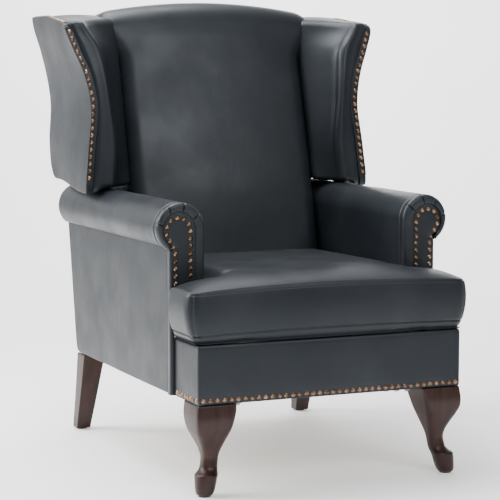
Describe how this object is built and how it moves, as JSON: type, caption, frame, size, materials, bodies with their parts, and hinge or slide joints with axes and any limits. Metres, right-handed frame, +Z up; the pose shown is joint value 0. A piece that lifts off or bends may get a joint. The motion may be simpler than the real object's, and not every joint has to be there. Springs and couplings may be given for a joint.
{
  "type": "recliner armchair",
  "caption": "Wingback push-back recliner armchair in dark blue leather with nailhead trim, rolled arms, T-shaped seat cushion and cabriole front legs.",
  "frame": {"origin": "on the floor, under the middle of the chair's bounding box", "axes": "+Z up; the chair faces -Y; +X is the sitter's left"},
  "size_m": [0.8608, 1.0219, 1.1343],
  "materials": {
    "leather": "semi-gloss pull-up leather, dark blue",
    "stained_wood": "dark stained hardwood, satin",
    "frame_wood": "unfinished hardwood and plywood",
    "dark_cloth": "black lining cloth over plywood",
    "webbing": "woven elastic webbing",
    "steel": "zinc-plated steel",
    "aged_brass": "aged brass, domed nail heads",
    "plastic": "black nylon"
  },
  "bodies": {
    "base": {"arm_frame_left": "frame_wood", "arm_frame_right": "frame_wood", "arm_front_facing_left": "leather", "arm_front_facing_right": "leather", "arm_inner_pad_left": "leather", "arm_inner_pad_right": "leather", "arm_nails": "aged_brass", "arm_outer_panel_left": "leather", "arm_outer_panel_right": "leather", "arm_rear_covers": "leather", "arm_roll_left": "leather", "arm_roll_right": "leather", "back_hinge_pins": "steel", "base_cross_rails": "frame_wood", "base_side_rails": "frame_wood", "corner_blocks": "frame_wood", "front_leg_left": "stained_wood", "front_leg_right": "stained_wood", "hanger_bolts": "steel", "leg_glides": "plastic", "rear_leg_left": "stained_wood", "rear_leg_right": "stained_wood", "seat_tracks": "steel", "side_return_left": "leather", "side_return_nails": "aged_brass", "side_return_right": "leather"},
    "seat": {"seat_frame": "frame_wood", "seat_platform": "dark_cloth", "seat_webbing": "webbing", "seat_cushion": "leather", "seat_glide_blocks": "plastic", "seat_hangers": "steel", "tong_brackets": "steel"},
    "back": {"back_frame": "frame_wood", "back_webbing": "webbing", "inside_back_pad": "leather", "crest_pad": "leather", "outside_back_panel": "leather", "back_brackets": "steel", "wing_frame_left": "frame_wood", "wing_frame_right": "frame_wood", "wing_inner_pad_left": "leather", "wing_inner_pad_right": "leather", "wing_outer_panel_left": "leather", "wing_outer_panel_right": "leather", "wing_nails": "aged_brass"},
    "bar_rear_upper": {"tong_bar_rear_upper": "steel"},
    "bar_second_falling": {"tong_bar_second_falling": "steel"},
    "bar_third_rising": {"tong_bar_third_rising": "steel"},
    "bar_front_upper": {"tong_bar_front_upper": "steel"},
    "bar_rear_lower": {"tong_bar_rear_lower": "steel"},
    "bar_second_rising": {"tong_bar_second_rising": "steel"},
    "bar_third_falling": {"tong_bar_third_falling": "steel"},
    "bar_front_lower": {"tong_bar_front_lower": "steel"},
    "footrest": {"footrest_pad": "leather", "footrest_board": "frame_wood", "footrest_brackets": "steel", "footrest_nails": "aged_brass"}
  },
  "joints": [
    {"name": "back_recline", "type": "hinge", "parent": "base", "child": "back", "pos_m": [0, 0.33, 0.33], "axis": [-1, 0, 0], "range_deg": [0, 35]},
    {"name": "seat_slide", "type": "slide", "parent": "base", "child": "seat", "axis": [0, -0.9962, 0.0872], "range_m": [0, 0.0451]},
    {"name": "footrest_extend", "type": "hinge", "parent": "seat", "child": "bar_rear_upper", "pos_m": [0, -0.31263, 0.2499], "axis": [1, 0, 0], "range_deg": [0, 54]},
    {"name": "rear_lower_pivot", "type": "hinge", "parent": "seat", "child": "bar_rear_lower", "pos_m": [0, -0.31263, 0.2499], "axis": [1, 0, 0], "range_deg": [-54.1, 0]},
    {"name": "upper_pivot_1", "type": "hinge", "parent": "bar_rear_upper", "child": "bar_second_falling", "pos_m": [0, -0.3276, 0.32033], "axis": [1, 0, 0], "range_deg": [-108.2, 0]},
    {"name": "lower_pivot_1", "type": "hinge", "parent": "bar_rear_lower", "child": "bar_second_rising", "pos_m": [0, -0.35078, 0.18884], "axis": [1, 0, 0], "range_deg": [0, 108.2]},
    {"name": "lower_pivot_2", "type": "hinge", "parent": "bar_second_falling", "child": "bar_third_rising", "pos_m": [0, -0.40391, 0.19821], "axis": [1, 0, 0], "range_deg": [0, 108.2]},
    {"name": "upper_pivot_2", "type": "hinge", "parent": "bar_second_rising", "child": "bar_third_falling", "pos_m": [0, -0.38072, 0.32969], "axis": [1, 0, 0], "range_deg": [-108.2, 0]},
    {"name": "upper_pivot_3", "type": "hinge", "parent": "bar_third_rising", "child": "bar_front_upper", "pos_m": [0, -0.43385, 0.33906], "axis": [1, 0, 0], "range_deg": [-108.2, 0]},
    {"name": "lower_pivot_3", "type": "hinge", "parent": "bar_third_falling", "child": "bar_front_lower", "pos_m": [0, -0.45703, 0.20757], "axis": [1, 0, 0], "range_deg": [0, 108.2]},
    {"name": "board_pivot", "type": "hinge", "parent": "bar_front_upper", "child": "footrest", "pos_m": [0, -0.472, 0.278], "axis": [1, 0, 0], "range_deg": [-26.1, 0]}
  ],
  "couplings": [
    {"joint": "seat_slide", "follows": "back_recline", "m_per_rad": 0.073666},
    {"joint": "rear_lower_pivot", "follows": "footrest_extend", "ratio": -1},
    {"joint": "upper_pivot_1", "follows": "footrest_extend", "ratio": -2},
    {"joint": "lower_pivot_1", "follows": "footrest_extend", "ratio": 2},
    {"joint": "lower_pivot_2", "follows": "footrest_extend", "ratio": 2},
    {"joint": "upper_pivot_2", "follows": "footrest_extend", "ratio": -2},
    {"joint": "upper_pivot_3", "follows": "footrest_extend", "ratio": -2},
    {"joint": "lower_pivot_3", "follows": "footrest_extend", "ratio": 2},
    {"joint": "board_pivot", "follows": "footrest_extend", "ratio": -0.48148}
  ]
}
